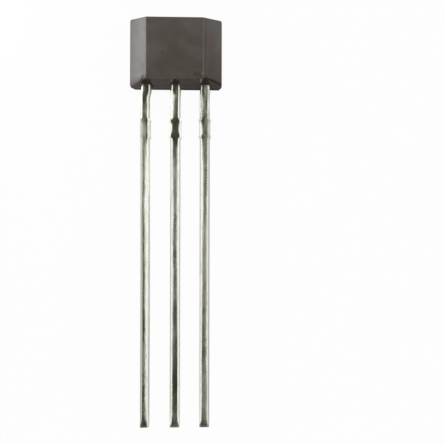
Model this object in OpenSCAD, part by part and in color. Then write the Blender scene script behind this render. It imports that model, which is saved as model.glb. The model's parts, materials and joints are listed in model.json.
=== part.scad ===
// Flat three-lead Hall effect sensor, millimetres.
// It lies on its back face: X runs across the body, Y from the leads to the
// top of the body, Z from the back face to the sensing face. The origin is
// the centre of the back face.

/* [Moulded body] */
// Width of the body at the parting plane
body_w = 4.0; // [3.7:0.05:4.4]
// Height of the body at the parting plane
body_h = 2.95; // [2.7:0.05:3.4]
// Depth of the rear half, from the back face to the parting plane
rear_depth = 0.75; // [0.6:0.01:0.9]
// Depth of the front half, from the parting plane to the sensing face
front_depth = 0.82; // [0.8:0.01:1.0]
// Size of the 45 degree chamfer down each side of the front half
chamfer = 0.79; // [0.6:0.01:0.79]
// Draft angle of the front half
front_draft = 13; // [5:1:16]
// Draft angle of the rear half
rear_draft = 8; // [3:1:12]
// Radius of the four corners of the outline
corner_r = 0.1; // [0.04:0.01:0.2]

/* [Leads] */
// Distance between the leads' centre lines
lead_pitch = 1.27; // [1.2:0.01:1.35]
// Width of a lead
lead_w = 0.44; // [0.36:0.01:0.5]
// Thickness of a lead
lead_t = 0.38; // [0.3:0.01:0.45]
// Length of a lead below the body's lower edge
lead_len = 14.65; // [10:0.05:16]
// Height of the leads' middle plane above the parting plane
lead_rise = 0.08; // [0:0.01:0.12]
// Radius of a lead's long edges
edge_r = 0.11; // [0.05:0.01:0.14]
// Bevel at the corners of a lead's cut tip
tip_bevel = 0.05; // [0.02:0.01:0.15]

/* [Tie-bar stubs] */
// Distance from the body's lower edge to the top of the stubs
stub_start = 1.4; // [0.8:0.05:2.5]
// Height of a stub, the tie bar's old width
stub_h = 0.84; // [0.4:0.02:1.2]
// How far a stub stands out of the lead's side
stub_out = 0.035; // [0.02:0.005:0.1]
// How far the sheared lip at each end of a stub stands out beyond the stub
lip_out = 0.03; // [0.01:0.005:0.06]
// Height of a sheared lip
lip_h = 0.14; // [0.08:0.01:0.18]
// How far a stub lies below the front and back of the lead
stub_recess = 0.02; // [0.01:0.005:0.05]

/* [Lead frame inside the body] */
// Height of the Hall element above the middle of the body
element_y = 0.05; // [-0.1:0.05:0.15]
// Height of the die paddle
paddle_h = 1.35; // [1.2:0.05:1.5]
// Width of a bond post
post_w = 0.62; // [0.5:0.01:0.7]
// Height of a bond post
post_h = 1.2; // [0.9:0.05:1.5]
// Height of the neck between the body's lower edge and a bond post
neck_h = 0.5; // [0.45:0.01:0.65]
// Plastic between a bond post and the chamfer beside it
side_wall = 0.15; // [0.1:0.01:0.25]
// Gap between the die paddle and the bond posts
frame_gap = 0.2; // [0.12:0.01:0.25]
// Depth of the locking notches in a lead's neck
notch_depth = 0.06; // [0.03:0.01:0.1]
// Height of the locking notches
notch_h = 0.12; // [0.06:0.01:0.16]

/* [Chip and bond wires] */
// Width of the chip
chip_w = 1.0; // [0.8:0.05:1.1]
// Height of the chip
chip_h = 0.95; // [0.8:0.05:1.1]
// Thickness of the chip
chip_t = 0.2; // [0.15:0.01:0.25]
// Thickness of the adhesive under the chip
glue_t = 0.025; // [0.02:0.005:0.05]
// How far the adhesive spreads past the chip
glue_spread = 0.05; // [0.02:0.01:0.08]
// Diameter of a bond wire
wire_d = 0.03; // [0.025:0.005:0.05]
// Diameter of the ball at a wire's first end
ball_d = 0.085; // [0.07:0.005:0.12]
// Height of the ball
ball_h = 0.025; // [0.02:0.005:0.04]
// Distance from a bond pad's centre to the chip's edge
pad_inset = 0.12; // [0.08:0.01:0.2]
// Height of the wire loop's control points above the chip
loop_h = 0.19; // [0.12:0.01:0.24]
// Length of the flattened stitch at a wire's second end
stitch_len = 0.1; // [0.06:0.01:0.15]
// Distance from a stitch to the edge of the metal that it is bonded to
stitch_inset = 0.22; // [0.15:0.01:0.3]

/* [Hidden] */
$fn = 48;

// Sides of a bond wire's section, and rings along its loop.
wire_sides = 8;
loop_rings = 14;
// Sides of the ball at a wire's first end.
ball_sides = 12;
// How far the shapes that cut each other reach past one another.
over = 1;

thickness = rear_depth + front_depth;
half_w = body_w / 2;
half_h = body_h / 2;
// Straight side wall between the parting plane and the chamfer.
side_land = front_depth - chamfer;
land_half_w = half_w - side_land * tan(front_draft);

lead_mid_z = rear_depth + lead_rise;
lead_front_z = lead_mid_z + lead_t / 2;
tip_y = -half_h - lead_len;
// Level at which a lead's rounded section ends, safely inside the body.
entry_y = -half_h + front_depth * tan(front_draft);

// Bond posts lie side_wall inside the chamfer, where it passes the leads' front.
post_outer = land_half_w - (lead_front_z - rear_depth - side_land) - side_wall;
post_inner = post_outer - post_w;
post_foot = -half_h + neck_h;
post_top = post_foot + post_h;
paddle_w = 2 * (post_inner - frame_gap);
paddle_foot = element_y - paddle_h / 2;

chip_z = lead_front_z + glue_t;
chip_top_z = chip_z + chip_t;

wire_r = wire_d / 2;
// Distance from the middle of a polygonal section to its flat, for a radius of 1.
flat_share = cos(180 / wire_sides);
// Width and height of the stitch, as shares of the wire's radius.
stitch_spread = 2;
stitch_squash = 0.6;
// Where the loop's second control point stands, as a share of the wire's run.
loop_reach = 0.4;

// Ends of each bond wire: [x, y] on the chip, then on the lead frame.
supply_from = [-chip_w / 2 + pad_inset, element_y + chip_h / 4];
supply_to = [-(post_inner + post_outer) / 2, post_top - stitch_inset];
output_from = [-supply_from.x, supply_from.y];
output_to = [-supply_to.x, supply_to.y];
ground_from = [0, element_y - chip_h / 2 + pad_inset];
ground_to = [0, paddle_foot - stitch_inset / 2];

// ---- Shared shapes ----

// Rounded rectangle, centred.
module rounded_rect(size, r) {
    square([size.x - 2 * r, size.y], center = true);
    square([size.x, size.y - 2 * r], center = true);
    for (sx = [-1, 1], sy = [-1, 1])
        translate([sx * (size.x / 2 - r), sy * (size.y / 2 - r)])
            circle(r);
}

// Extrudes an outline drawn in X and Z along the whole of Y, both ways.
module along_y(length) {
    rotate([90, 0, 0])
        linear_extrude(length, center = true)
            children();
}

// ---- Moulded body ----

// Section across the body: both halves' side walls and the front chamfers.
module body_cross_section() {
    back_half_w = half_w - rear_depth * tan(rear_draft);
    polygon([
        [-back_half_w, 0], [back_half_w, 0],
        [half_w, rear_depth], [land_half_w, rear_depth + side_land],
        [land_half_w - chamfer, thickness], [chamfer - land_half_w, thickness],
        [-land_half_w, rear_depth + side_land], [-half_w, rear_depth],
    ]);
}

// Section down the body's middle: the draft of its top and underside.
// It is drawn with the body's Z as x and the body's Y as y.
module body_long_section() {
    back_half_h = half_h - rear_depth * tan(rear_draft);
    front_half_h = half_h - front_depth * tan(front_draft);
    polygon([
        [0, -back_half_h], [rear_depth, -half_h], [thickness, -front_half_h],
        [thickness, front_half_h], [rear_depth, half_h], [0, back_half_h],
    ]);
}

// The outside of the moulding, where the three views' shapes meet.
module body_block() {
    intersection() {
        along_y(body_h + over)
            body_cross_section();
        rotate([0, -90, 0])
            linear_extrude(body_w + over, center = true)
                body_long_section();
        translate([0, 0, -over])
            linear_extrude(thickness + 2 * over)
                rounded_rect([body_w, body_h], corner_r);
    }
}

module moulded_body() {
    color("#544d47")
        difference() {
            body_block();
            lead_shapes();
            glue_shape();
            chip_shape();
            wire_shapes();
        }
}

// ---- Lead frame ----

// The lead outside the body: rounded long edges and a cut tip.
module lead_bar() {
    intersection() {
        translate([0, 0, lead_mid_z])
            along_y(2 * (lead_len + body_h))
                rounded_rect([lead_w, lead_t], edge_r);
        linear_extrude(thickness)
            polygon([
                [-lead_w / 2, entry_y], [-lead_w / 2, tip_y + tip_bevel],
                [-lead_w / 2 + tip_bevel, tip_y], [lead_w / 2 - tip_bevel, tip_y],
                [lead_w / 2, tip_y + tip_bevel], [lead_w / 2, entry_y],
            ]);
    }
}

// One side of a stub, from its top to its foot: a lip, the stub and a lip.
function stub_side(side) =
    let (
        top = -half_h - stub_start,
        foot = top - stub_h,
        bare = side * lead_w / 2,
        plain = bare + side * stub_out,
        lip = plain + side * lip_out
    )
    [
        [bare, top], [lip, top - lip_h / 3], [lip, top - lip_h * 2 / 3], [plain, top - lip_h],
        [plain, foot + lip_h], [lip, foot + lip_h * 2 / 3], [lip, foot + lip_h / 3], [bare, foot],
    ];

// What is left of the bar that tied the leads together until they were cut free.
module tie_bar_stub() {
    left = stub_side(-1);
    translate([0, 0, lead_mid_z - lead_t / 2 + stub_recess])
        linear_extrude(lead_t - 2 * stub_recess)
            polygon(concat(stub_side(1), [for (i = [1 : len(left)]) left[len(left) - i]]));
}

// Flat metal of the lead frame, from the leads' front down to their back.
module frame_plate() {
    translate([0, 0, lead_front_z])
        mirror([0, 0, 1])
            linear_extrude(lead_t)
                children();
}

// A neck from the body's entry up to its paddle or post, notched on both sides.
module notched_neck(top) {
    notch_foot = entry_y + notch_h / 2;
    difference() {
        translate([-lead_w / 2, entry_y])
            square([lead_w, top - entry_y]);
        for (side = [-1, 1])
            translate([side * lead_w / 2 - notch_depth, notch_foot])
                square([2 * notch_depth, notch_h]);
    }
}

// The left outer lead, with the bond post that its wire is stitched to.
module outer_lead_shape() {
    translate([-lead_pitch, 0, 0]) {
        lead_bar();
        tie_bar_stub();
    }
    frame_plate() {
        translate([-lead_pitch, 0])
            notched_neck(post_foot + post_w / 4);
        translate([-post_outer, post_foot])
            square([post_w, post_h]);
    }
}

// The middle lead, one piece with the paddle that carries the chip.
module ground_lead_shape() {
    lead_bar();
    tie_bar_stub();
    frame_plate() {
        notched_neck(element_y);
        translate([-paddle_w / 2, paddle_foot])
            square([paddle_w, paddle_h]);
    }
}

module lead_shapes() {
    outer_lead_shape();
    ground_lead_shape();
    mirror([1, 0, 0])
        outer_lead_shape();
}

module supply_lead() {
    color("#cfcdc4")
        outer_lead_shape();
}

module ground_lead() {
    color("#cfcdc4")
        ground_lead_shape();
}

module output_lead() {
    color("#cfcdc4")
        mirror([1, 0, 0])
            outer_lead_shape();
}

// ---- Chip ----

module glue_shape() {
    size = [chip_w + 2 * glue_spread, chip_h + 2 * glue_spread, glue_t];
    translate([-size.x / 2, element_y - size.y / 2, lead_front_z])
        cube(size);
}

module chip_shape() {
    translate([-chip_w / 2, element_y - chip_h / 2, chip_z])
        cube([chip_w, chip_h, chip_t]);
}

module die_attach() {
    color("#b9b9b4")
        glue_shape();
}

module hall_chip() {
    color("#4a5163")
        chip_shape();
}

// ---- Bond wires ----

// Point at share t of a cubic curve through p[0] and p[3].
function bezier(p, t) =
    pow(1 - t, 3) * p[0] + 3 * t * pow(1 - t, 2) * p[1]
    + 3 * t * t * (1 - t) * p[2] + pow(t, 3) * p[3];

// Direction of that curve, as an angle above the horizontal.
function bezier_slope(p, t) =
    let (d = pow(1 - t, 2) * (p[1] - p[0]) + 2 * t * (1 - t) * (p[2] - p[1])
        + t * t * (p[3] - p[2]))
    atan2(d.y, d.x);

// Ring of a wire: [distance along, height of its underside, slope, half width, half height].
function loop_ring(p, t) = concat(bezier(p, t), [bezier_slope(p, t), wire_r, wire_r]);

// Stitch rings lie flat on the metal and grow wider and thinner.
function stitch_ring(along, share) = [
    along, lead_front_z, 0,
    wire_r * (1 + share * (stitch_spread - 1)),
    wire_r * (1 - share * (1 - stitch_squash)),
];

// Corners of a ring, in [distance along, across, height]. The lowest corners of
// a level ring come to its underside exactly, so a stitch meets the metal.
function ring_points(ring) = [
    for (i = [0 : wire_sides - 1])
        let (a = (i + 0.5) * 360 / wire_sides)
        [
            ring[0] - ring[4] * sin(a) * sin(ring[2]),
            ring[3] * cos(a),
            ring[1] + ring[4] * (flat_share + sin(a) * cos(ring[2])),
        ]
];

// Faces of a closed tube through a number of rings.
function tube_faces(rings) = concat(
    [[for (i = [0 : wire_sides - 1]) i]],
    [[for (i = [1 : wire_sides]) rings * wire_sides - i]],
    [for (r = [0 : rings - 2], i = [0 : wire_sides - 1])
        let (a = r * wire_sides + i, b = r * wire_sides + (i + 1) % wire_sides)
        [a, a + wire_sides, b + wire_sides, b]]
);

// Gold wire from a ball on the chip, over a loop, to a stitch on the lead frame.
module bond_wire(from, to) {
    run = norm(to - from);
    landing = run - stitch_len / 2;
    loop = [
        [0, chip_top_z + ball_h / 2 - wire_r * flat_share], [0, chip_top_z + loop_h],
        [landing * loop_reach, chip_top_z + loop_h], [landing, lead_front_z],
    ];
    rings = concat(
        [for (i = [0 : loop_rings - 1]) loop_ring(loop, i / loop_rings)],
        [for (share = [0, 0.5, 1]) stitch_ring(landing + share * stitch_len, share)]
    );
    translate([from.x, from.y, 0])
        rotate([0, 0, atan2(to.y - from.y, to.x - from.x)]) {
            translate([0, 0, chip_top_z])
                cylinder(h = ball_h, d = ball_d, $fn = ball_sides);
            polyhedron([for (ring = rings) each ring_points(ring)], tube_faces(len(rings)));
        }
}

module wire_shapes() {
    bond_wire(supply_from, supply_to);
    bond_wire(ground_from, ground_to);
    bond_wire(output_from, output_to);
}

module supply_bond_wire() {
    color("#e3b24a")
        bond_wire(supply_from, supply_to);
}

module ground_bond_wire() {
    color("#e3b24a")
        bond_wire(ground_from, ground_to);
}

module output_bond_wire() {
    color("#e3b24a")
        bond_wire(output_from, output_to);
}

moulded_body();
supply_lead();
ground_lead();
output_lead();
die_attach();
hall_chip();
supply_bond_wire();
ground_bond_wire();
output_bond_wire();
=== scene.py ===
import json
import math

import bmesh
import bpy
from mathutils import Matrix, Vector


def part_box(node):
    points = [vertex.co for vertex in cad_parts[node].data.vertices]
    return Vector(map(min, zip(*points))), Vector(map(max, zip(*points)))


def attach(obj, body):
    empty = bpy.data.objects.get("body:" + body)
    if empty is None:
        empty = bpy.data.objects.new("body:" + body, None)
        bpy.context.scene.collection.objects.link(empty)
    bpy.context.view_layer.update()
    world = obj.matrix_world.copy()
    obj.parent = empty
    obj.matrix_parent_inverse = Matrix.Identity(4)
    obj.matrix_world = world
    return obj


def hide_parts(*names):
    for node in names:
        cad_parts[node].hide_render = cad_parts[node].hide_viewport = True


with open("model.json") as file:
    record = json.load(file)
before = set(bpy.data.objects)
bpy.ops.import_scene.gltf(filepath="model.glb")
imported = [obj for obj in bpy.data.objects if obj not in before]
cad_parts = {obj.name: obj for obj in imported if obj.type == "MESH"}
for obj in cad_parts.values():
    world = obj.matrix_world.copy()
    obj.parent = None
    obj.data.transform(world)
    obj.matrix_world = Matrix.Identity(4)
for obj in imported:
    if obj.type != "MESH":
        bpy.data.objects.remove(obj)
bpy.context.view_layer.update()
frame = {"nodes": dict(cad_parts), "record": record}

# Pieces are modelled in millimetres and turned to metres when they are finished.
mm = 0.001
mergeDistance = 1e-5
flatAngle = 0.1           # degrees, below which neighbouring faces are one flat face

bodyLow, bodyHigh = (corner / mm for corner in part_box("moulded_body"))
mounts = {mount["name"]: mount for mount in frame["record"]["mounts"]}
leadMount = mounts["solder_leads"]
leadPitch = leadMount["dims"]["spacing_x_mm"]
leadTip = Vector(leadMount["pos_m"]) / mm
leadLength = bodyLow.y - leadTip.y      # what shows below the body


class Signal:
    # An output of a node. A sum on it adds a Math node.

    def __init__(self, graph, socket):
        self.graph = graph
        self.socket = socket

    def math(self, operation, first, second):
        return self.graph.signal(
            "ShaderNodeMath", {"operation": operation}, {0: first, 1: second})

    def __add__(self, other):
        return self.math("ADD", self, other)

    __radd__ = __add__

    def __mul__(self, other):
        return self.math("MULTIPLY", self, other)

    __rmul__ = __mul__

    def __sub__(self, other):
        return self.math("SUBTRACT", self, other)

    def __rsub__(self, other):
        return self.math("SUBTRACT", other, self)

    def __truediv__(self, other):
        return self.math("DIVIDE", self, other)

    def __pow__(self, other):
        return self.math("POWER", self, other)


class Graph:
    # The nodes of one material, or of the world.

    def __init__(self, owner):
        owner.use_nodes = True
        self.tree = owner.node_tree
        self.tree.nodes.clear()

    def feed(self, socket, value):
        if isinstance(value, Signal):
            self.tree.links.new(value.socket, socket)
        elif socket.type == "RGBA" and len(value) == 3:
            socket.default_value = (*value, 1)
        else:
            socket.default_value = value

    def node(self, kind, settings=None, inputs=None):
        made = self.tree.nodes.new(kind)
        for name, value in (settings or {}).items():
            setattr(made, name, value)
        for name, value in (inputs or {}).items():
            self.feed(made.inputs[name], value)
        return made

    def signal(self, kind, settings=None, inputs=None, output=0):
        return Signal(self, self.node(kind, settings, inputs).outputs[output])

    def place(self, scale=(1, 1, 1), centre=(0, 0, 0), turn=0):
        # Object coordinates in millimetres, measured from a centre, turned and scaled.
        coords = self.signal("ShaderNodeTexCoord", output="Object")
        metric = self.signal("ShaderNodeMapping", None, {
            "Vector": coords, "Location": [-c for c in centre], "Scale": [1 / mm] * 3})
        return self.signal("ShaderNodeMapping", None, {
            "Vector": metric, "Rotation": (0, 0, math.radians(turn)), "Scale": scale})

    def vectorMath(self, operation, first, second=(0, 0, 0), output="Value"):
        return self.signal(
            "ShaderNodeVectorMath", {"operation": operation}, {0: first, 1: second}, output)

    def axes(self, vector):
        # The three numbers of a vector.
        parts = self.node("ShaderNodeSeparateXYZ", None, {0: vector})
        return [Signal(self, output) for output in parts.outputs]

    def attribute(self, name):
        return self.signal("ShaderNodeAttribute", {"attribute_name": name}, output="Fac")

    def noise(self, vector, scale, detail=3, roughness=0.5, distortion=0):
        return self.signal("ShaderNodeTexNoise", None, {
            "Vector": vector, "Scale": scale, "Detail": detail,
            "Roughness": roughness, "Distortion": distortion})

    def ramp(self, value, low, high, outLow=0.0, outHigh=1.0):
        # A soft step from outLow to outHigh as the value goes from low to high.
        return self.signal("ShaderNodeMapRange", {"interpolation_type": "SMOOTHSTEP"}, {
            "Value": value, "From Min": low, "From Max": high,
            "To Min": outLow, "To Max": outHigh})

    def band(self, value, rise, fall):
        # 1 between two soft steps, each given by where it starts and where it ends.
        return self.ramp(value, *rise) * self.ramp(value, *fall, 1.0, 0.0)

    def blend(self, factor, first, second):
        made = self.node("ShaderNodeMix", {"data_type": "RGBA"}, {
            "Factor": factor, 6: first, 7: second})
        return Signal(self, made.outputs[2])

    def bump(self, height, distance, under=None):
        # A height of 1 stands distance millimetres out of the surface.
        inputs = {"Height": height, "Distance": distance * mm}
        if under:
            inputs["Normal"] = under
        return self.signal("ShaderNodeBump", None, inputs)

    def surface(self, inputs):
        shader = self.signal("ShaderNodeBsdfPrincipled", None, inputs)
        self.node("ShaderNodeOutputMaterial", None, {"Surface": shader})


def newMaterial(name):
    material = bpy.data.materials.new(name)
    return material, Graph(material)


def mergedCopy(nodeName):
    # The loose triangles of a node as one closed mesh, its flat faces whole again.
    bm = bmesh.new()
    bm.from_mesh(frame["nodes"][nodeName].data)
    bmesh.ops.scale(bm, vec=Vector((1, 1, 1)) / mm, verts=bm.verts)
    bmesh.ops.remove_doubles(bm, verts=bm.verts, dist=mergeDistance)
    bmesh.ops.dissolve_limit(
        bm, angle_limit=math.radians(flatAngle), verts=bm.verts, edges=bm.edges)
    return bm


def finishPiece(name, bm, material, sharpAngle=30):
    # Smooth, but for edges that are sharper than an angle.
    for face in bm.faces:
        face.smooth = True
    for edge in bm.edges:
        edge.smooth = edge.is_manifold and edge.calc_face_angle() < math.radians(sharpAngle)
    bmesh.ops.scale(bm, vec=Vector((mm, mm, mm)), verts=bm.verts)
    mesh = bpy.data.meshes.new(name)
    bm.to_mesh(mesh)
    bm.free()
    piece = bpy.data.objects.new(name, mesh)
    bpy.context.scene.collection.objects.link(piece)
    mesh.materials.append(material)
    return piece


def cutAcross(bm, axis, places):
    # New edges where planes square to an axis cross the mesh.
    normal = Vector([1 if i == axis else 0 for i in range(3)])
    for place in places:
        geom = bm.verts[:] + bm.edges[:] + bm.faces[:]
        bmesh.ops.bisect_plane(
            bm, geom=geom, dist=mergeDistance, plane_co=normal * place, plane_no=normal)


def softStep(value, low, high):
    t = min(max((value - low) / (high - low), 0), 1)
    return t * t * (3 - 2 * t)


def plateau(value, low, high, soft):
    # 1 between low and high, and down to 0 over soft on either side.
    return softStep(value, low - soft, low) * (1 - softStep(value, high, high + soft))


cameraSet = {
    "place": (1.43, -7.57, 21.89),    # mm
    "pan": 1.60,                      # degrees, to the right
    "tilt": 0.65,
    "roll": 0.10,
    "lens": 39.3,                     # mm
    "sensor": 36,                     # mm, its width
    "clip": 0.5,                      # mm, nothing nearer shows
}


def makeCamera():
    data = bpy.data.cameras.new("camera")
    data.lens = cameraSet["lens"]
    data.sensor_width = cameraSet["sensor"]
    data.clip_start = cameraSet["clip"] * mm
    camera = bpy.data.objects.new("camera", data)
    camera.location = Vector(cameraSet["place"]) * mm
    camera.rotation_mode = "ZXY"
    camera.rotation_euler = [
        math.radians(angle) for angle in (cameraSet["tilt"], -cameraSet["pan"], cameraSet["roll"])]
    bpy.context.scene.collection.objects.link(camera)
    bpy.context.scene.camera = camera


makeCamera()
bpy.context.scene.view_settings.view_transform = "Standard"
print("camera in place")


# A white tent lights the part evenly. Its dark gap overhead, where the camera stands, is
# what the leads mirror as a dark stripe, and a panel on the left lights the left chamfer.
lightSet = {
    "tent": 1.0,              # level at which the white tent shows in gloss
    "fill": 0.89,             # level at which it lights the object
    "lean": 0.20,             # how much brighter it is beyond the body than beyond the tips
    "horizon": 0.69,          # level of the tent low down, in gloss
    "horizonTo": (0.05, 0.35),        # height, as a sine, over which that ends
    "gap": 0.035,             # level of the dark gap overhead
    "gapColour": (1.0, 1.0, 0.72),
    "gapWide": 0.30,          # its half width, as a sine
    "gapLong": 0.60,          # its half length
    "gapMiddle": (-0.07, -0.06),
    "gapEdge": (0.8, 1.2),    # its soft edge, in shares of those halves
    "ends": 0.40,             # level of the tent beyond the body and beyond the tips
    "endsFrom": (0.20, 0.55),         # squared sine over which that sets in
    "backdrop": 0.98,         # level at which the tent is seen directly
    "panel": 8.2,             # level of the bright panel that stands low on the left
    "panelSize": (10, 2.5),   # mm
    "panelPlace": (-12, 4.6, 1.4),
    "panelAim": (0, 4.6, 1.4),
}


def makeWorld():
    light = lightSet
    world = bpy.data.worlds.new("lightTent")
    bpy.context.scene.world = world
    g = Graph(world)
    sideways, forward, upward = g.axes(g.signal("ShaderNodeTexCoord", output="Generated"))
    across = (sideways - light["gapMiddle"][0]) / light["gapWide"]
    along = (forward - light["gapMiddle"][1]) / light["gapLong"]
    away = (across * across + along * along) ** 0.5
    outside = g.ramp(away, *light["gapEdge"])
    level = light["tent"] * (1 + forward * light["lean"])
    level = level * g.ramp(forward * forward, *light["endsFrom"], 1.0, light["ends"])
    level = level * g.ramp(upward, *light["horizonTo"], light["horizon"], 1.0)
    level = level * (light["gap"] + outside * (1 - light["gap"]))
    colour = g.blend(outside, light["gapColour"], (1, 1, 1))
    rays = g.node("ShaderNodeLightPath")
    diffuse = Signal(g, rays.outputs["Is Diffuse Ray"])
    level = level * (1 - diffuse) + diffuse * light["fill"]
    colour = g.blend(diffuse, colour, (1, 1, 1))
    seen = Signal(g, rays.outputs["Is Camera Ray"])
    seen = seen + Signal(g, rays.outputs["Is Transmission Ray"])
    tent = g.signal("ShaderNodeBackground", None, {"Color": colour, "Strength": level})
    white = g.signal("ShaderNodeBackground", None, {
        "Color": (1, 1, 1), "Strength": light["backdrop"]})
    mix = g.signal("ShaderNodeMixShader", None, {0: seen, 1: tent, 2: white})
    g.node("ShaderNodeOutputWorld", None, {"Surface": mix})


def makePanel():
    light = lightSet
    data = bpy.data.lights.new("leftPanel", "AREA")
    data.shape = "RECTANGLE"
    data.size, data.size_y = (side * mm for side in light["panelSize"])
    # A flat light of this radiance gives pi times as much power for each square metre.
    data.energy = light["panel"] * math.pi * data.size * data.size_y
    panel = bpy.data.objects.new("leftPanel", data)
    place, aim = (Vector(light[name]) * mm for name in ("panelPlace", "panelAim"))
    panel.location = place
    panel.rotation_euler = (aim - place).to_track_quat("-Z", "Y").to_euler()
    panel.visible_camera = False
    bpy.context.scene.collection.objects.link(panel)


floorSet = {
    "radius": 900,            # mm
    "segments": 96,
    "white": (0.82, 0.82, 0.815),
    "dull": (0.79, 0.79, 0.785),
    "fibres": (0.4, 2),       # scale and detail of the paper's faint clouds
    "glow": 0.95,             # share of the white that shadows leave, seen directly
    "gloss": 0.12,            # the same, seen in gloss
}


def makeFloor():
    material, g = newMaterial("whiteFloor")
    rays = g.node("ShaderNodeLightPath")
    seen = Signal(g, rays.outputs["Is Camera Ray"])
    seen = (seen + Signal(g, rays.outputs["Is Transmission Ray"])) * floorSet["glow"]
    seen = seen + Signal(g, rays.outputs["Is Glossy Ray"]) * floorSet["gloss"]
    fibres = g.noise(g.place(), *floorSet["fibres"])
    paper = g.signal("ShaderNodeBsdfDiffuse", None, {
        "Color": g.blend(fibres, floorSet["dull"], floorSet["white"])})
    glow = g.signal("ShaderNodeEmission", None, {"Color": (1, 1, 1), "Strength": 1.0})
    mix = g.signal("ShaderNodeMixShader", None, {0: seen, 1: paper, 2: glow})
    g.node("ShaderNodeOutputMaterial", None, {"Surface": mix})
    bm = bmesh.new()
    bmesh.ops.create_circle(
        bm, cap_ends=True, segments=floorSet["segments"], radius=floorSet["radius"])
    floor = finishPiece("floor", bm, material)


makeWorld()
makePanel()
makeFloor()
print("light tent, panel and floor in place")


bodyLook = {
    "edgeRadius": 0.03,       # mm, on the mould's outer edges
    "edgeSegments": 4,
    "edgeAngle": 38,          # outer edges sharper than this get the radius
    "colour": (0.076, 0.061, 0.050),
    "pale": (0.091, 0.079, 0.067),
    "dark": (0.055, 0.041, 0.035),
    # pale of the outer edges, rubbed wear and painted highlight, and of the pale scrapes
    "wornAndHighlight": (0.30, 0.275, 0.26),
    "darkMark": (0.018, 0.007, 0.003),
    # colour of the painted shade
    "paintedShade": (0.026, 0.015, 0.008),
    "roughness": 0.36,
    "specular": 0.42,
    "rearRough": (0.71, 0.75, 0.34, 0.0),     # added behind the parting line, at 0.75 mm
    # Added to the roughness by clouds, patches, scratches, the foot and the dark marks
    "roughens": (0.16, 0.1, 0.08, 0.15, 0.35),
    "grain": 0.0010,          # mm, height of the mould's texture
    "patchHeight": 2.5,       # height of the patches, in grains
    "scratch": 0.0012,        # mm, depth of the handling marks
    # Patterns: scale, detail, roughness and distortion
    "clouds": (0.9, 4, 0.55, 0.4),
    "patches": (3.5, 3, 0.6),
    "grains": (42, 2, 0.6),
    "speckles": (95, 1, 0.5),
    "strokes": (1.0, 2, 0.5),
    "strokeStretch": (14, 0.8, 1),
    "strokeWays": ((24, 0.0), (-38, 3.1), (71, 6.7)),     # each in degrees, and its shift
    # What shows of them: where a soft step starts and ends, and its level at either end
    "cloudsPale": (0.35, 0.68),
    "patchesDark": (0.50, 0.75, 0.0, 0.4),
    "specklesPale": (0.60, 0.74, 0.0, 0.3),
    "strokesCut": (0.70, 0.74),
    "strokesPale": 0.25,
    # how strongly the painted shade darkens
    "paintedShadeStrength": 0.9,
    "darkMarkStrength": 0.95,
    # Where painted shade darkens the mould, in the same way, over mm across it, up it or out of
    # it; up the right chamfer, painted light also makes it paler towards the top
    "foot": (-1.45, -1.10, 1.0, 0.0),
    "footAcross": (-0.6, 1.0, 0.6, 1.0),
    "flank": (1.30, 1.46),            # down the right chamfer
    "flankUp": (-1.3, 0.9, 0.6, 0.0),
    "flankPaintedLight": (0.2, 1.4),
    "brink": ((1.21, 1.25), (1.30, 1.38)),        # painted shade in a line right of the front face
    "brinkUp": (0.50, 0.80, 0.45, 0.0),
    "under": ((1.20, 1.50), (1.54, 1.56)),        # painted shade just behind the front's lower edge
    "underShade": 0.3,
    # Dark spots where the leads come out
    "spotPlace": (-0.01, 0.10, 0.33),        # mm, from the middle of a lead's exit
    "spotStretch": (1.25, 0.7, 0.75),
    "spotEdge": (0.14, 0.29, 1.0, 0.0),
    "spotFray": (9, 3, 0.7),
    "spotRagged": 0.6,
    "spotShift": 3.3,        # between one lead's fraying and the next
    # Scrapes, each from one place to another, with half width in mm and strength
    "scrapeFray": (14, 2, 0.6),
    "scrapeRagged": 1.6,      # in half widths
    "scrapeEdge": (0.4, 1.3),
    "scrapeEnds": (0.16, 0.27),       # squared share of the length, from its middle
    "darkScrapes": (
        ((1.20, -1.30, 1.56), (1.62, -1.26, 1.16), 0.050, 1.0),
        ((1.52, -1.26, 1.26), (1.96, -1.35, 0.82), 0.060, 0.9),
        ((-1.12, -1.31, 1.44), (-0.99, -1.47, 0.78), 0.050, 0.9),
        ((0.74, -1.13, 1.57), (1.10, -1.12, 1.57), 0.030, 0.7),
        ((0.78, -1.05, 1.57), (1.05, -1.03, 1.57), 0.024, 0.5),
    ),
    "paleScrapes": (
        ((1.10, -1.29, 1.50), (1.10, -1.37, 1.20), 0.045, 0.6),
        ((-0.14, -1.30, 1.46), (-0.16, -1.36, 1.25), 0.040, 0.45),
        ((1.17, -1.13, 1.57), (1.20, -1.04, 1.57), 0.030, 0.4),
    ),
    # How pale the outer edges are painted, as rubbed wear and as a painted highlight
    "edgeFray": (5, 3, 0.7),
    "edgePale": (0.35, 0.65, 0.3, 1.0),
    "sideEdges": (1.0, 1.2),          # mm: across from there, and up to there
    "paleLeft": 0.38,
    "paleRight": 0.75,
    "paleRightTo": (0.65, 0.95),    # mm, height over which the right edge's paler wear and painted highlight end
    "paleFoot": 0.22,
    "paleTop": 0.15,
    "paleRear": 0.12,
    # Which edges are inside, round the chip or where the leads come out
    "coreShare": (0.8, 0.7),          # nearer the middle than this share, across and up
    "skin": 0.1,                      # mm
    "exitReach": 0.2,
    "exitHeights": (0.6, 1.05),
}


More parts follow.
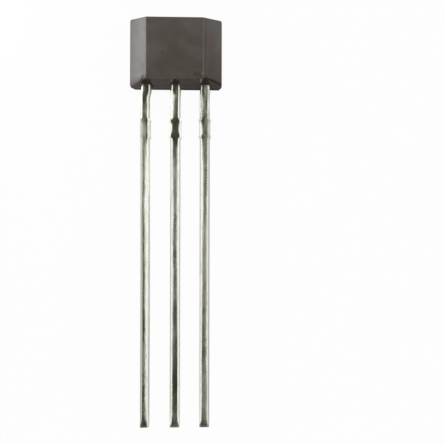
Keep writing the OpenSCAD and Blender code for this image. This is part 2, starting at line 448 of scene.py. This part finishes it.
def scrapeMask(g, start, end, halfWidth):
    # 1 along a line from start to end, and 0 away from it.
    look = bodyLook
    reach = Vector(end) - Vector(start)
    offset = g.place(centre=start)
    direction = tuple(reach.normalized())
    away = g.vectorMath("LENGTH", g.vectorMath("CROSS_PRODUCT", offset, direction, "Vector"))
    along = g.vectorMath("DOT_PRODUCT", offset, direction)
    fromMiddle = (along / reach.length - 0.5) ** 2
    ragged = (g.noise(offset, *look["scrapeFray"]) - 0.5) * halfWidth * look["scrapeRagged"]
    edge = [halfWidth * share for share in look["scrapeEdge"]]
    line = g.ramp(away + ragged, *edge, 1.0, 0.0)
    return line * g.ramp(fromMiddle, *look["scrapeEnds"], 1.0, 0.0)


def allScrapes(g, scrapes):
    mask = 0
    for start, end, halfWidth, strength in scrapes:
        mask = mask + scrapeMask(g, start, end, halfWidth) * strength
    return mask


def exitDarkSpots(g):
    # A ragged spot above each lead.
    look = bodyLook
    across, up, out = look["spotPlace"]
    darkMark = 0
    for column in (-1, 0, 1):
        middle = (column * leadPitch + across, bodyLow.y + up, leadTip.z + out)
        away = g.vectorMath("LENGTH", g.place(look["spotStretch"], middle))
        shifted = g.place(centre=(column * look["spotShift"], 0, 0))
        away = away + (g.noise(shifted, *look["spotFray"]) - 0.5) * look["spotRagged"]
        darkMark = darkMark + g.ramp(away, *look["spotEdge"])
    return darkMark


def handlingMarks(g):
    # Fine scratches in three directions.
    look = bodyLook
    marks = 0
    for turn, shift in look["strokeWays"]:
        place = g.place(look["strokeStretch"], (shift, shift, 0), turn)
        marks = marks + g.ramp(g.noise(place, *look["strokes"]), *look["strokesCut"])
    return marks


def paintedShadeMask(g, foot, flank, across, up, out):
    # Painted shade: darker at the foot, down the right chamfer, in a line right of the front face
    # and just behind the front's lower edge.
    look = bodyLook
    paintedShade = foot * g.ramp(across, *look["footAcross"])
    paintedShade = paintedShade + flank * g.ramp(up, *look["flankUp"])
    paintedShade = paintedShade + g.band(across, *look["brink"]) * g.ramp(up, *look["brinkUp"])
    return paintedShade + foot * g.band(out, *look["under"]) * look["underShade"]


def bodyMaterial():
    look = bodyLook
    material, g = newMaterial("mouldingCompound")
    p = g.place()
    across, up, out = g.axes(p)
    clouds, patches, grains, speckles = (
        g.noise(p, *look[name]) for name in ("clouds", "patches", "grains", "speckles"))
    marks = handlingMarks(g)
    foot = g.ramp(up, *look["foot"])
    flank = g.ramp(across, *look["flank"])
    # Paler outer edges: rubbed wear and a painted highlight.
    wearAndHighlight = g.attribute("wearAndHighlight") * g.ramp(g.noise(p, *look["edgeFray"]), *look["edgePale"])
    darkMark = exitDarkSpots(g) + allScrapes(g, look["darkScrapes"])

    base = g.blend(g.ramp(clouds, *look["cloudsPale"]), look["colour"], look["pale"])
    base = g.blend(g.ramp(patches, *look["patchesDark"]), base, look["dark"])
    base = g.blend(g.ramp(speckles, *look["specklesPale"]), base, look["pale"])
    base = g.blend(marks * look["strokesPale"], base, look["pale"])
    # Painted light: the right chamfer paler towards the top.
    base = g.blend(flank * g.ramp(up, *look["flankPaintedLight"]), base, look["pale"])
    # Painted shade darkens the foot, the lower right chamfer and the lines by the front's edges.
    paintedShade = paintedShadeMask(g, foot, flank, across, up, out)
    base = g.blend(paintedShade * look["paintedShadeStrength"], base, look["paintedShade"])
    # Paler outer edges: rubbed wear and a painted highlight.
    base = g.blend(wearAndHighlight, base, look["wornAndHighlight"])
    base = g.blend(darkMark * look["darkMarkStrength"], base, look["darkMark"])
    base = g.blend(allScrapes(g, look["paleScrapes"]), base, look["wornAndHighlight"])

    rear = g.ramp(out, *look["rearRough"])
    cloudy, patchy, scratched, footRough, darkMarked = look["roughens"]
    roughness = look["roughness"] + (clouds - 0.5) * cloudy + (patches - 0.5) * patchy
    roughness = roughness + marks * scratched + foot * footRough + darkMark * darkMarked + rear

    normal = g.bump(grains, look["grain"])
    normal = g.bump(patches, look["grain"] * look["patchHeight"], normal)
    normal = g.bump(1 - marks, look["scratch"], normal)
    g.surface({
        "Base Color": base, "Roughness": roughness, "Normal": normal,
        "Specular IOR Level": look["specular"]})
    return material


def onOutside(edge):
    # True if both faces of an edge lie on the outside of the moulding.
    look = bodyLook
    middle = (edge.verts[0].co + edge.verts[1].co) / 2
    lowest, highest = look["exitHeights"]
    atExit = abs(middle.y - bodyLow.y) < look["exitReach"] and lowest < middle.z < highest
    acrossShare, upShare = look["coreShare"]
    inCore = (abs(middle.x) < bodyHigh.x * acrossShare and abs(middle.y) < bodyHigh.y * upShare
              and look["skin"] < middle.z < bodyHigh.z - look["skin"])
    return not (inCore or atExit)


def wearAndHighlightAt(place):
    # How pale an outer edge is painted, as rubbed wear and as a painted highlight: most on the
    # front's right edge.
    look = bodyLook
    if place.z < bodyHigh.z - look["skin"]:
        return look["paleRear"]
    across, up = look["sideEdges"]
    if abs(place.x) > across and abs(place.y) < up:
        if place.x < 0:
            return look["paleLeft"]
        more = look["paleRight"] - look["paleTop"]
        return look["paleTop"] + more * (1 - softStep(place.y, *look["paleRightTo"]))
    return look["paleFoot"] if place.y < 0 else look["paleTop"]


def makeBody():
    look = bodyLook
    bm = mergedCopy("moulded_body")
    wearAndHighlight = bm.verts.layers.float.new("wearAndHighlight")
    sharp = [e for e in bm.edges if e.calc_face_angle_signed() > math.radians(look["edgeAngle"])]
    rounded = bmesh.ops.bevel(
        bm, geom=[e for e in sharp if onOutside(e)], offset=look["edgeRadius"],
        offset_type="OFFSET", segments=look["edgeSegments"], profile=0.5,
        affect="EDGES", material=-1)
    edgeFaces = set(rounded["faces"])
    for vert in rounded["verts"]:
        # Paler outer edges: rubbed wear and a painted highlight line.
        vert[wearAndHighlight] = wearAndHighlightAt(vert.co) if edgeFaces.issuperset(vert.link_faces) else 0.0
    body = finishPiece("mouldedBody", bm, bodyMaterial())
    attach(body, "root")
    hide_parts("moulded_body")


makeBody()
print("body moulded")


# Every lead has this drawn section, its stubs and its sheared tip.
leadShape = {
    "halfWidth": 0.22,        # mm
    "halfThick": 0.19,
    "ringStep": 0.08,         # distance between the rings of a lead's mesh
    "cuts": (-0.33, -0.16, 0, 0.16, 0.33),    # along a lead, as shares of its half width
    "smoothAngle": 24,        # degrees
    "seat": 0.12,             # below the body, where the lead keeps its plain section
    "settle": 0.4,            # below that, where its crown sets in
    "ripples": ((2.3, 0.02), (7.9, 0.014), (19.0, 0.012)),     # the crown wanders
    "hazeEdge": (0.35, 0.8),  # the haze thins out over these shares from the crown's middle
    "hazeLoss": 0.7,
    "flankShadeEdge": 0.2,          # share of the half width over which a flank's painted shade sets in
    "filmFade": 0.5,          # mm over which it ends
    "stub": (1.4, 2.24),      # where the stubs lie below the body
    "stubSoft": 0.08,         # mm over which a lead is pressed square there
    "lip": 0.14,
    "lipInset": 0.02,
    "lipSquare": 0.3,
    "tip": 0.60,              # length that the shears pressed square at the tip
    "tipSquare": 0.82,
    "cornerFrom": 1.6,        # how fast a square section fills its corners
    "squareFlat": 0.8,        # share of the crown that a square section takes away
    "cut": 0.07,              # mm, the bare end
    "cutTint": 0.7,
    "bendFrom": 1.0,          # depth from which a bend fades out
}

# Each lead: how square its stubs are pressed, how much slimmer its right flank is, its
# bend in mm to the side near the body and the depth where that has faded out, and the
# share of its stubs' overhang that is drawn in. Stations down it: depth below the body,
# the crown's middle as a share of the half width, the crown's height in mm, and how
# hazy the plating is. Flank shades are painted shade that greys a flank where it mirrors
# the dark surroundings: side, share of the half width from which they lie, from and to
# depth, and strength.
leadLooks = {
    "supplyLead": {
        "node": "supply_lead", "side": -1, "shift": 3.7, "stubSquare": 0.45, "slim": 0.24,
        "bend": -0.024, "straight": 9.0, "pull": 0.70,
        "stations": [
            (0, -0.45, 0.018, 0.16), (0.6, -0.55, 0.019, 0.08), (1, -0.56, 0.019, 0.54),
            (1.4, -0.4, 0.019, 0.37), (1.9, -0.35, 0.019, 0.91), (2.3, -0.45, 0.022, 0.71),
            (2.7, -0.75, 0.024, 0.81), (3.8, -0.56, 0.035, 0.7), (5.2, -0.79, 0.034, 0.65),
            (6.2, -0.7, 0.032, 0.57), (8.5, -0.58, 0.037, 0.46), (10.3, -0.53, 0.037, 0.25),
            (11.9, -0.57, 0.03, 0.78), (13.1, -0.61, 0.03, 0.26), (14, -0.72, 0.024, 0.35),
            (14.65, -0.92, 0.025, 0.33)],
        "flankShades": (
            (-1, 0.5, -1, 5.2, 0.7), (-1, 0.5, 5.6, 15, 1.2), (1, 0.6, 0.6, 2.4, 0.3),
            (1, 0.5, -1, 0.1, 0.9), (1, 0.55, 5.0, 15, 0.6)),
    },
    "groundLead": {
        "node": "ground_lead", "side": 0, "shift": 11.3, "stubSquare": 0.66, "slim": 0.04,
        "bend": -0.010, "straight": 5.0, "pull": 0.15,
        "stations": [
            (0, 0.79, 0.045, 0.64), (0.6, 0.65, 0.015, 0.25), (1.2, 0.4, 0.019, 0.32),
            (1.5, 0.29, 0.024, 0), (2.3, 0.26, 0.016, 0.07), (2.7, -0.09, 0.022, 0.51),
            (3.6, -0.03, 0.033, 0.74), (5, -0.01, 0.049, 0.71), (6.5, -0.06, 0.043, 0.47),
            (8.5, 0.01, 0.039, 0.56), (10.1, 0.06, 0.027, 0.44), (11.5, 0.25, 0.018, 0.44),
            (13, 0.31, 0.016, 0), (13.8, 0.32, 0.012, 0.37), (14.2, 0.27, 0.014, 0.41),
            (14.65, 0.35, 0.008, 0.18)],
        "flankShades": ((-1, 0.55, -1, 0.3, 0.6), (-1, 0.75, 5.0, 15, 0.5)),
    },
    "outputLead": {
        "node": "output_lead", "side": 1, "shift": 21.9, "stubSquare": 0.50, "slim": 0.04,
        "bend": -0.006, "straight": 4.0, "pull": 0.30,
        "stations": [
            (0, 0.26, 0.018, 0.89), (0.8, 0.45, 0.024, 0.49), (1.3, 0.35, 0.018, 0.44),
            (1.6, 0.5, 0.023, 0.56), (2, 0.36, 0.037, 0.46), (2.35, 0.3, 0.017, 0.69),
            (2.8, 0.25, 0.025, 0.61), (3.6, 0.24, 0.033, 0.68), (5, 0.14, 0.048, 0.67),
            (6.4, 0.03, 0.042, 0.96), (8.3, 0.04, 0.036, 0.74), (10, -0.02, 0.032, 0.62),
            (11.8, -0.12, 0.023, 0.55), (13.1, 0.14, 0.019, 0.81), (14.2, -0.05, 0.015, 0.65),
            (14.65, 0.06, 0.013, 0.21)],
        "flankShades": (
            (-1, 0.1, -1, 1.2, 1.0), (-1, 0.8, 1.2, 8.0, 0.9), (1, 0.55, 1.2, 15, 1.0),
            (1, 0.2, -1, 0.5, 0.8)),
    },
}

tinLook = {
    "bright": (0.93, 0.92, 0.84),
    "dull": (0.60, 0.60, 0.47),
    "film": (0.55, 0.55, 0.50),
    "roughness": 0.11,
    "hazy": 0.24,             # added where the plating is hazy
    "streak": 0.0022,         # mm, height of the drawn streaks
    "pool": 0.006,            # mm, height of the plating's slow waves
    # Patterns: scale, detail, roughness and distortion
    "streaks": (16, 4, 0.62, 0.3),
    "streakStretch": (1, 0.12, 1),
    "pools": (2.8, 3, 0.55, 0.8),
    "poolStretch": (1, 0.45, 1),
    "pits": (34, 2, 0.6),
    # What shows of them: where a soft step starts and ends, and its level at either end
    "streaksDull": (0.45, 0.75, 0.0, 0.5),
    "poolsDull": (0.52, 0.78, 0.0, 0.4),
    "poolsRough": (0.4, 0.8, 0.0, 0.1),
    "pitsRough": 0.1,
    "tintGrey": (0.7, 0.6),   # how much the tint greys (painted shade on the flanks, and the bare cut end), and how much more on a streak
    "clearStreaks": 0.6,      # height of the streaks where the plating is clear
    "pitsHeight": (0.1, 0.4),         # there, and how much more where it is hazy
}


def tinMaterial(name, shift):
    look = tinLook
    material, g = newMaterial(name)
    streaks = g.noise(g.place(look["streakStretch"], (shift, 0, 0)), *look["streaks"])
    pools = g.noise(g.place(look["poolStretch"], (0, shift, 0)), *look["pools"])
    pits = g.noise(g.place(), *look["pits"])
    film, haze = g.attribute("film"), g.attribute("haze")

    tarnish = g.ramp(streaks, *look["streaksDull"]) + g.ramp(pools, *look["poolsDull"])
    base = g.blend(tarnish, look["bright"], look["dull"])
    grey, streaky = look["tintGrey"]
    # Greyer where the tint lies: painted shade on the flanks, and the bare cut end.
    base = g.blend(film * (grey + streaks * streaky), base, look["film"])

    roughness = look["roughness"] + g.ramp(pools, *look["poolsRough"])
    roughness = roughness + (pits - 0.5) * look["pitsRough"] + haze * look["hazy"]

    normal = g.bump(streaks * (look["clearStreaks"] + haze), look["streak"])
    normal = g.bump(pools, look["pool"], normal)
    clear, hazy = look["pitsHeight"]
    normal = g.bump(pits * (clear + haze * hazy), look["streak"], normal)
    g.surface({"Base Color": base, "Metallic": 1.0, "Roughness": roughness, "Normal": normal})
    return material


def atDepth(stations, depth):
    # What the stations say between two of them.
    for upper, lower in zip(stations, stations[1:]):
        if depth <= lower[0]:
            share = softStep(depth, upper[0], lower[0])
            return [a + (b - a) * share for a, b in zip(upper[1:], lower[1:])]
    return stations[-1][1:]


def squareAt(depth, stubSquare):
    # How square a lead is pressed: between the stubs, at their lips and at the tip.
    s = leadShape
    top, foot = s["stub"]
    soft, inset, lip = s["stubSoft"], s["lipInset"], s["lip"]
    square = plateau(depth, top, foot, soft) * stubSquare
    square += plateau(depth, top + inset, top + lip, soft) * s["lipSquare"]
    square += plateau(depth, foot - lip, foot - inset, soft) * s["lipSquare"]
    return square + softStep(depth, leadLength - s["tip"], leadLength) * s["tipSquare"]


def shapeLead(vert, haze, film, look):
    # Crowns the drawn lead and presses it square at the stubs and at the tip.
    s = leadShape
    depth = bodyLow.y - vert.co.y
    if depth < s["seat"]:
        return
    fade = softStep(depth, s["seat"], s["seat"] + s["settle"])
    axisX = look["side"] * leadPitch
    u = (vert.co.x - axisX) / s["halfWidth"]
    w = (vert.co.z - leadTip.z) / s["halfThick"]
    middle, height, hazy = atDepth(look["stations"], depth)
    for waves, wide in s["ripples"]:
        middle += wide * math.sin(depth * waves + look["shift"] * waves)
    vert[haze] = hazy * (1 - s["hazeLoss"] * softStep(abs(u - middle), *s["hazeEdge"]))
    # Painted shade on the flanks, where they mirror the dark surroundings.
    for flank, inner, start, stop, strength in look["flankShades"]:
        share = softStep(flank * u, inner, inner + s["flankShadeEdge"])
        vert[film] += strength * share * plateau(depth, start, stop, s["filmFade"])
    cut = softStep(depth, leadLength - s["cut"], leadLength)
    vert[film] += cut * s["cutTint"]
    vert[haze] += (1 - vert[haze]) * cut
    square = squareAt(depth, look["stubSquare"])
    reach = max(abs(u), abs(w), 0.01)
    u -= look["slim"] * max(u, 0) * fade
    if abs(u) > 1:
        u = math.copysign(1 + (abs(u) - 1) * (1 - look["pull"]), u)
    if reach <= 1:
        grow = 1 + (1 / reach - 1) * square * min(abs(u * w) * s["cornerFrom"], 1)
        u, w = u * grow, w * grow
    crown = height * (1 - square * s["squareFlat"]) * (u - middle) ** 2 * fade * w * abs(w)
    bent = look["bend"] * fade * (1 - softStep(depth, s["bendFrom"], look["straight"]))
    vert.co.x = axisX + u * s["halfWidth"] + bent
    vert.co.z = leadTip.z + w * s["halfThick"] - crown


def makeLead(name, look):
    s = leadShape
    bm = mergedCopy(look["node"])
    rings = int((leadLength - s["seat"]) / s["ringStep"])
    cutAcross(bm, 1, [leadTip.y + s["ringStep"] * (i + 0.5) for i in range(rings)])
    axisX = look["side"] * leadPitch
    cutAcross(bm, 0, [axisX + s["halfWidth"] * share for share in s["cuts"]])
    bm.verts.layers.float.new("haze")
    bm.verts.layers.float.new("film")
    haze, film = (bm.verts.layers.float[layer] for layer in ("haze", "film"))
    for vert in bm.verts:
        shapeLead(vert, haze, film, look)
    material = tinMaterial(name + "Tin", look["shift"])
    lead = finishPiece(name, bm, material, s["smoothAngle"])
    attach(lead, "root")
    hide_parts(look["node"])
    print(name, "shaped,", len(lead.data.polygons), "faces")


for name, look in leadLooks.items():
    makeLead(name, look)


# The chip, its adhesive and the bond wires lie inside the body.
wireLook = {
    "gold": (0.91, 0.63, 0.22),
    "deep": (0.80, 0.52, 0.16),
    "drawn": (60, 2),         # scale and detail of its drawn marks
    "drawnDeep": (0.4, 0.7),
    "roughness": 0.2,
    "drawnRough": 0.12,
}

adhesiveLook = {
    "silver": (0.62, 0.61, 0.58),
    "between": (0.36, 0.355, 0.34),
    "flakes": 45,             # scale
    "flakeEdge": (0.1, 0.6),
    "metallic": 0.6,
    "roughness": 0.45,
    "flakeRough": 0.2,
}

chipLook = {
    "fields": ((0.05, 0.07, 0.12), (0.09, 0.08, 0.13)),
    "tracks": (0.42, 0.42, 0.40),
    "trackScale": 7.0,
    "trackWidth": 0.02,
    "fieldSize": (0.9, 0.3),
    "fieldShift": 0.37,
    "film": (0.04, 0.09, 0.12),
    "filmClouds": (3, 2),     # scale and detail
    "filmShows": (0.4, 0.7, 0.0, 0.5),
    "metallic": 0.4,
    "roughness": 0.16,
    "filmRough": 0.08,
}


def goldMaterial():
    look = wireLook
    material, g = newMaterial("goldWire")
    drawn = g.noise(g.place(), *look["drawn"])
    base = g.blend(g.ramp(drawn, *look["drawnDeep"]), look["gold"], look["deep"])
    g.surface({
        "Base Color": base, "Metallic": 1.0,
        "Roughness": look["roughness"] + drawn * look["drawnRough"]})
    return material


def adhesiveMaterial():
    look = adhesiveLook
    material, g = newMaterial("silverAdhesive")
    flakes = g.signal(
        "ShaderNodeTexVoronoi", None, {"Vector": g.place(), "Scale": look["flakes"]})
    base = g.blend(g.ramp(flakes, *look["flakeEdge"]), look["silver"], look["between"])
    g.surface({
        "Base Color": base, "Metallic": look["metallic"],
        "Roughness": look["roughness"] + flakes * look["flakeRough"]})
    return material


def siliconMaterial():
    look = chipLook
    material, g = newMaterial("siliconChip")
    fields = g.signal("ShaderNodeTexBrick", {"offset": look["fieldShift"]}, {
        "Vector": g.place(), "Color1": look["fields"][0], "Color2": look["fields"][1],
        "Mortar": look["tracks"], "Scale": look["trackScale"],
        "Mortar Size": look["trackWidth"], "Brick Width": look["fieldSize"][0],
        "Row Height": look["fieldSize"][1]})
    film = g.noise(g.place(), *look["filmClouds"])
    base = g.blend(g.ramp(film, *look["filmShows"]), fields, look["film"])
    g.surface({
        "Base Color": base, "Metallic": look["metallic"],
        "Roughness": look["roughness"] + film * look["filmRough"]})
    return material


def coverNode(nodeName, material):
    for slot in frame["nodes"][nodeName].material_slots:
        slot.material = material


gold = goldMaterial()
for lead in ("supply", "ground", "output"):
    coverNode(lead + "_bond_wire", gold)
coverNode("die_attach", adhesiveMaterial())
coverNode("hall_chip", siliconMaterial())
print("inner pieces finished")
